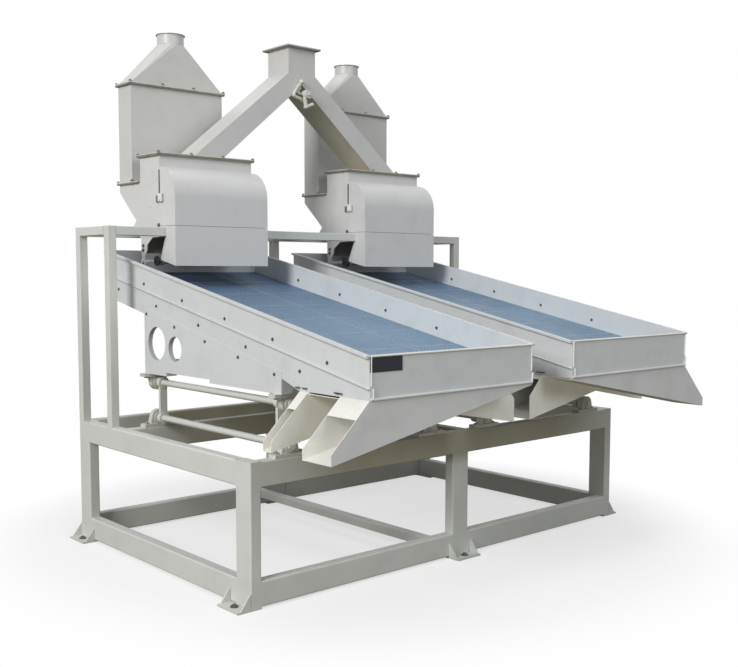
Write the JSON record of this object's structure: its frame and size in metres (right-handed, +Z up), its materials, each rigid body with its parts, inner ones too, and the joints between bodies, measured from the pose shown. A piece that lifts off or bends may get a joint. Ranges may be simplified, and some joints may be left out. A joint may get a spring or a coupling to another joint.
{
  "type": "rice cleaning sieve",
  "caption": "Rice cleaning sieve with two sloping rocking screen decks on a tube frame, fed from one forked inlet through two aspirated feeders.",
  "frame": {"origin": "centre of the base on the floor, at the centre of the four corner anchor holes", "axes": "+X to the right seen from the discharge end, +Y from the discharge end to the feeders, +Z up"},
  "size_m": [2.864, 2.497, 2.95],
  "materials": {
    "frame_paint": "satin",
    "deck_paint": "satin",
    "feeder_paint": "satin",
    "bearing_paint": "satin",
    "screen_sheet": "matte",
    "screen_bars": "satin",
    "zinc": "satin",
    "steel": "satin",
    "motor_paint": "satin",
    "belt_rubber": "matte"
  },
  "bodies": {
    "root": {"base_fasteners": "zinc", "base_legs": "frame_paint", "base_rails": "frame_paint", "belt": "belt_rubber", "distributor": "feeder_paint", "drive_bearers": "frame_paint", "flange_bolts": "zinc", "foot_plates": "frame_paint", "left_duct": "feeder_paint", "left_duct_collar": "feeder_paint", "left_duct_hood": "feeder_paint", "left_feeder_box": "feeder_paint", "left_feeder_skirt": "feeder_paint", "lower_bearings": "bearing_paint", "motor": "motor_paint", "right_duct": "feeder_paint", "right_duct_collar": "feeder_paint", "right_duct_hood": "feeder_paint", "right_feeder_box": "feeder_paint", "right_feeder_skirt": "feeder_paint", "upper_frame": "frame_paint"},
    "left_outer_rocker": {"left_outer_rocker": "frame_paint"},
    "left_inner_rocker": {"left_inner_rocker": "frame_paint"},
    "right_outer_rocker": {"right_outer_rocker": "frame_paint"},
    "right_inner_rocker": {"right_inner_rocker": "frame_paint"},
    "diverter": {"diverter": "steel"},
    "eccentric_shaft": {"eccentric_shaft": "steel"},
    "left_rod": {"left_connecting_rod": "frame_paint"},
    "right_rod": {"right_connecting_rod": "frame_paint"},
    "motor_pulley": {"motor_pulley": "steel"},
    "left_deck": {"left_upper_side_walls": "deck_paint", "left_lower_side_walls": "deck_paint", "left_end_walls": "deck_paint", "left_screens": "screen_sheet", "left_screen_frames": "screen_bars", "left_fines_pan": "deck_paint", "left_subframe": "deck_paint", "left_rear_chute": "deck_paint", "left_middle_chute": "deck_paint", "left_front_chute": "deck_paint", "left_deck_bearings": "bearing_paint", "left_deck_fasteners": "zinc"},
    "left_cover": {"left_feeder_cover": "feeder_paint"},
    "left_gate": {"left_feed_gate": "steel"},
    "left_roller": {"left_spreader_roller": "steel"},
    "right_deck": {"right_upper_side_walls": "deck_paint", "right_lower_side_walls": "deck_paint", "right_end_walls": "deck_paint", "right_screens": "screen_sheet", "right_screen_frames": "screen_bars", "right_fines_pan": "deck_paint", "right_subframe": "deck_paint", "right_rear_chute": "deck_paint", "right_middle_chute": "deck_paint", "right_front_chute": "deck_paint", "right_deck_bearings": "bearing_paint", "right_deck_fasteners": "zinc"},
    "right_cover": {"right_feeder_cover": "feeder_paint"},
    "right_gate": {"right_feed_gate": "steel"},
    "right_roller": {"right_spreader_roller": "steel"}
  },
  "joints": [
    {"name": "left_outer_rocker_swing", "type": "hinge", "parent": "root", "child": "left_outer_rocker", "pos_m": [-1.126, -0.2275, 0.729], "axis": [0, 1, 0], "range_deg": [-2.3, 2.3]},
    {"name": "left_deck_sway", "type": "hinge", "parent": "left_outer_rocker", "child": "left_deck", "pos_m": [-1.126, -0.2275, 0.925], "axis": [0, 1, 0], "range_deg": [-2.5, 2.5]},
    {"name": "left_inner_rocker_swing", "type": "hinge", "parent": "root", "child": "left_inner_rocker", "pos_m": [-0.214, -0.2275, 0.729], "axis": [0, 1, 0], "range_deg": [-2.5, 2.5]},
    {"name": "right_outer_rocker_swing", "type": "hinge", "parent": "root", "child": "right_outer_rocker", "pos_m": [1.126, -0.2275, 0.729], "axis": [0, 1, 0], "range_deg": [-2.5, 2.5]},
    {"name": "right_deck_sway", "type": "hinge", "parent": "right_outer_rocker", "child": "right_deck", "pos_m": [1.126, -0.2275, 0.925], "axis": [0, 1, 0], "range_deg": [-2.5, 2.5]},
    {"name": "right_inner_rocker_swing", "type": "hinge", "parent": "root", "child": "right_inner_rocker", "pos_m": [0.214, -0.2275, 0.729], "axis": [0, 1, 0], "range_deg": [-2.5, 2.5]},
    {"name": "eccentric_shaft_spin", "type": "hinge", "parent": "root", "child": "eccentric_shaft", "pos_m": [0, -0.327, 0.809], "axis": [0, 1, 0], "continuous": true},
    {"name": "left_rod_turn", "type": "hinge", "parent": "eccentric_shaft", "child": "left_rod", "pos_m": [0, -0.455, 0.817], "axis": [0, 1, 0], "continuous": true},
    {"name": "right_rod_turn", "type": "hinge", "parent": "eccentric_shaft", "child": "right_rod", "pos_m": [0, -0.285, 0.801], "axis": [0, 1, 0], "continuous": true},
    {"name": "motor_pulley_spin", "type": "hinge", "parent": "root", "child": "motor_pulley", "pos_m": [0, -0.08, 1.075], "axis": [0, 1, 0], "continuous": true},
    {"name": "diverter_turn", "type": "hinge", "parent": "root", "child": "diverter", "pos_m": [0, 0.635, 2.627], "axis": [0, 1, 0], "range_deg": [-30, 30]},
    {"name": "left_cover_hinge", "type": "hinge", "parent": "root", "child": "left_cover", "pos_m": [-0.6935, 0.5345, 2.117], "axis": [-1, 0, 0], "range_deg": [0, 65]},
    {"name": "left_gate_turn", "type": "hinge", "parent": "root", "child": "left_gate", "pos_m": [-0.6935, 0.645, 1.905], "axis": [1, 0, 0], "range_deg": [-25, 25]},
    {"name": "left_roller_spin", "type": "hinge", "parent": "root", "child": "left_roller", "pos_m": [-0.6935, 0.555, 1.589], "axis": [1, 0, 0], "continuous": true},
    {"name": "right_cover_hinge", "type": "hinge", "parent": "root", "child": "right_cover", "pos_m": [0.6935, 0.5345, 2.117], "axis": [-1, 0, 0], "range_deg": [0, 65]},
    {"name": "right_gate_turn", "type": "hinge", "parent": "root", "child": "right_gate", "pos_m": [0.6935, 0.645, 1.905], "axis": [1, 0, 0], "range_deg": [-25, 25]},
    {"name": "right_roller_spin", "type": "hinge", "parent": "root", "child": "right_roller", "pos_m": [0.6935, 0.555, 1.589], "axis": [1, 0, 0], "continuous": true}
  ],
  "couplings": [
    {"joint": "left_deck_sway", "follows": "left_outer_rocker_swing", "ratio": -1},
    {"joint": "left_inner_rocker_swing", "follows": "left_outer_rocker_swing", "ratio": 1},
    {"joint": "right_outer_rocker_swing", "follows": "left_outer_rocker_swing", "ratio": -1},
    {"joint": "right_deck_sway", "follows": "left_outer_rocker_swing", "ratio": 1},
    {"joint": "right_inner_rocker_swing", "follows": "left_outer_rocker_swing", "ratio": -1},
    {"joint": "left_rod_turn", "follows": "eccentric_shaft_spin", "ratio": -1},
    {"joint": "right_rod_turn", "follows": "eccentric_shaft_spin", "ratio": -1},
    {"joint": "motor_pulley_spin", "follows": "eccentric_shaft_spin", "ratio": 2.4444}
  ]
}
